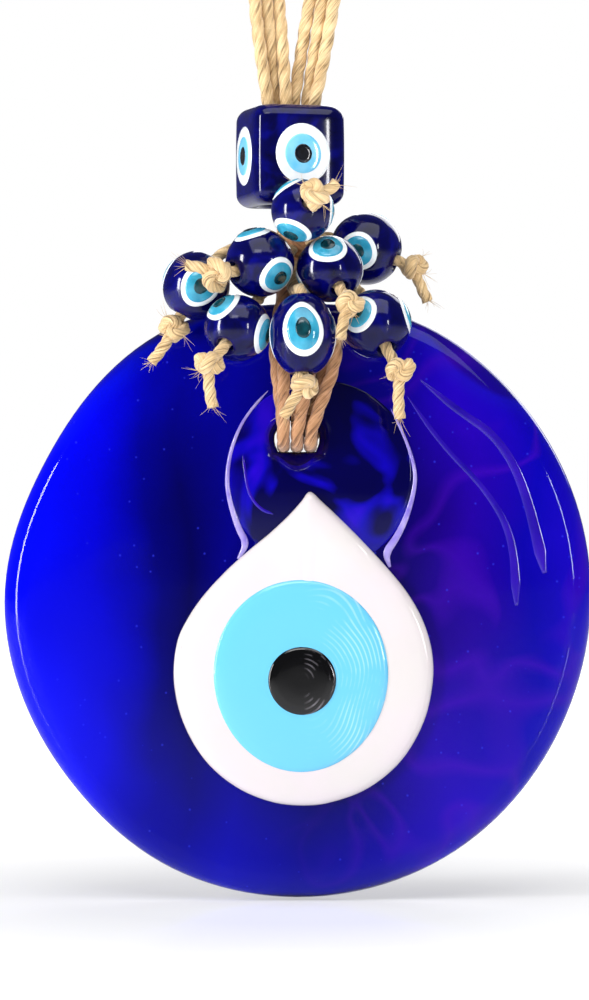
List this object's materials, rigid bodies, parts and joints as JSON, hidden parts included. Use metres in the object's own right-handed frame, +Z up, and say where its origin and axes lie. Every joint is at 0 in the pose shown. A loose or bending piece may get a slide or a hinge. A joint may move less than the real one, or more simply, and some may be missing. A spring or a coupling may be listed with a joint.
{
  "type": "hanging glass evil eye ornament",
  "caption": "Round cobalt glass disc with a white, light blue and black eye, hung by jute cords under a cube bead and a cluster of small eye beads.",
  "frame": {"origin": "top inside of the hanging loop, where the nail or hook bears", "axes": "+Z up, front of the disc faces -Y, +X to the right seen from the front"},
  "size_m": [0.1012, 0.0341, 0.1888],
  "materials": {
    "cobalt_glass": "clear cobalt blue glass, fire polished",
    "deep_cobalt_glass": "darker cobalt glass where it is gathered thicker round the hole",
    "lilac_glass": "thin pale lilac glass thread",
    "white_glass": "opaque warm white glass, glossy",
    "sky_glass": "opaque light blue glass, glossy",
    "black_glass": "opaque black glass, glossy",
    "teal_glass": "opaque teal blue glass, glossy",
    "smoke_glass": "dark bottle-green glass, glossy",
    "bead_glass": "opaque dark cobalt glass, glossy",
    "jute": "straw coloured twisted jute cord with loose fibres",
    "brown_jute": "browner twisted jute cord with loose fibres"
  },
  "bodies": {
    "cords": {"cluster_core": "brown_jute", "front_hanging_cord": "jute", "middle_hanging_cord": "jute", "back_hanging_cord": "jute", "top_bead_string": "jute", "back_bead_string": "jute", "centre_bead_string": "jute", "left_bead_string": "jute", "far_left_bead_string": "jute", "low_left_bead_string": "jute", "low_centre_bead_string": "jute", "low_right_bead_string": "jute"},
    "cube_bead": {"cube_glass": "bead_glass", "cube_eye_whites": "white_glass", "cube_eye_blues": "sky_glass", "cube_eye_pupils": "black_glass"},
    "top_bead": {"top_bead_glass": "bead_glass", "top_bead_whites": "white_glass", "top_bead_blues": "teal_glass", "top_bead_pupils": "smoke_glass"},
    "back_bead": {"back_bead_glass": "bead_glass", "back_bead_whites": "white_glass", "back_bead_blues": "teal_glass", "back_bead_pupils": "smoke_glass"},
    "centre_bead": {"centre_bead_glass": "bead_glass", "centre_bead_whites": "white_glass", "centre_bead_blues": "teal_glass", "centre_bead_pupils": "smoke_glass"},
    "left_bead": {"left_bead_glass": "bead_glass", "left_bead_whites": "white_glass", "left_bead_blues": "teal_glass", "left_bead_pupils": "smoke_glass"},
    "far_left_bead": {"far_left_bead_glass": "bead_glass", "far_left_bead_whites": "white_glass", "far_left_bead_blues": "teal_glass", "far_left_bead_pupils": "smoke_glass"},
    "low_left_bead": {"low_left_bead_glass": "bead_glass", "low_left_bead_whites": "white_glass", "low_left_bead_blues": "teal_glass", "low_left_bead_pupils": "smoke_glass"},
    "low_centre_bead": {"low_centre_bead_glass": "bead_glass", "low_centre_bead_whites": "white_glass", "low_centre_bead_blues": "teal_glass", "low_centre_bead_pupils": "smoke_glass"},
    "low_right_bead": {"low_right_bead_glass": "bead_glass", "low_right_bead_whites": "white_glass", "low_right_bead_blues": "teal_glass", "low_right_bead_pupils": "smoke_glass"},
    "hole_loop": {"left_hole_cords": "brown_jute", "middle_hole_cords": "brown_jute", "right_hole_cords": "brown_jute"},
    "disc": {"cobalt_disc": "cobalt_glass", "hole_gather": "deep_cobalt_glass", "gather_trail": "lilac_glass", "white_drop": "white_glass", "blue_iris": "sky_glass", "black_pupil": "black_glass"}
  },
  "joints": [
    {"name": "cube_slide", "type": "slide", "parent": "cords", "child": "cube_bead", "axis": [0, 0, 1], "range_m": [0, 0.006], "deforming": ["front_hanging_cord", "middle_hanging_cord", "back_hanging_cord"]},
    {"name": "top_bead_spin", "type": "hinge", "parent": "cords", "child": "top_bead", "pos_m": [0.0009, -0.0147, -0.0701], "axis": [0.281, -0.9193, 0.2756], "continuous": true},
    {"name": "back_bead_spin", "type": "hinge", "parent": "cords", "child": "back_bead", "pos_m": [0.0118, 0.0024, -0.0755], "axis": [0.9132, -0.1941, -0.3584], "continuous": true},
    {"name": "centre_bead_spin", "type": "hinge", "parent": "cords", "child": "centre_bead", "pos_m": [0.0055, -0.0108, -0.0797], "axis": [0.3374, -0.6621, -0.6691], "continuous": true},
    {"name": "left_bead_spin", "type": "hinge", "parent": "cords", "child": "left_bead", "pos_m": [-0.0062, -0.0118, -0.0787], "axis": [-0.8065, -0.504, -0.309], "continuous": true},
    {"name": "far_left_bead_spin", "type": "hinge", "parent": "cords", "child": "far_left_bead", "pos_m": [-0.017, -0.0078, -0.0823], "axis": [-0.454, 0, -0.891], "continuous": true},
    {"name": "low_left_bead_spin", "type": "hinge", "parent": "cords", "child": "low_left_bead", "pos_m": [-0.01, -0.0138, -0.0898], "axis": [-0.3993, -0.6916, -0.6018], "continuous": true},
    {"name": "low_centre_bead_spin", "type": "hinge", "parent": "cords", "child": "low_centre_bead", "pos_m": [0.001, -0.0174, -0.091], "axis": [0, -0.1564, -0.9877], "continuous": true},
    {"name": "low_right_bead_spin", "type": "hinge", "parent": "cords", "child": "low_right_bead", "pos_m": [0.0133, -0.0114, -0.089], "axis": [0.3051, -0.5504, -0.7771], "continuous": true},
    {"name": "loop_rock", "type": "hinge", "parent": "cords", "child": "hole_loop", "pos_m": [0, 0, -0.083], "axis": [1, 0, 0], "range_deg": [-3, 8]},
    {"name": "disc_sway", "type": "hinge", "parent": "hole_loop", "child": "disc", "pos_m": [0, 0, -0.109], "axis": [0, 1, 0], "range_deg": [-8, 8]}
  ]
}
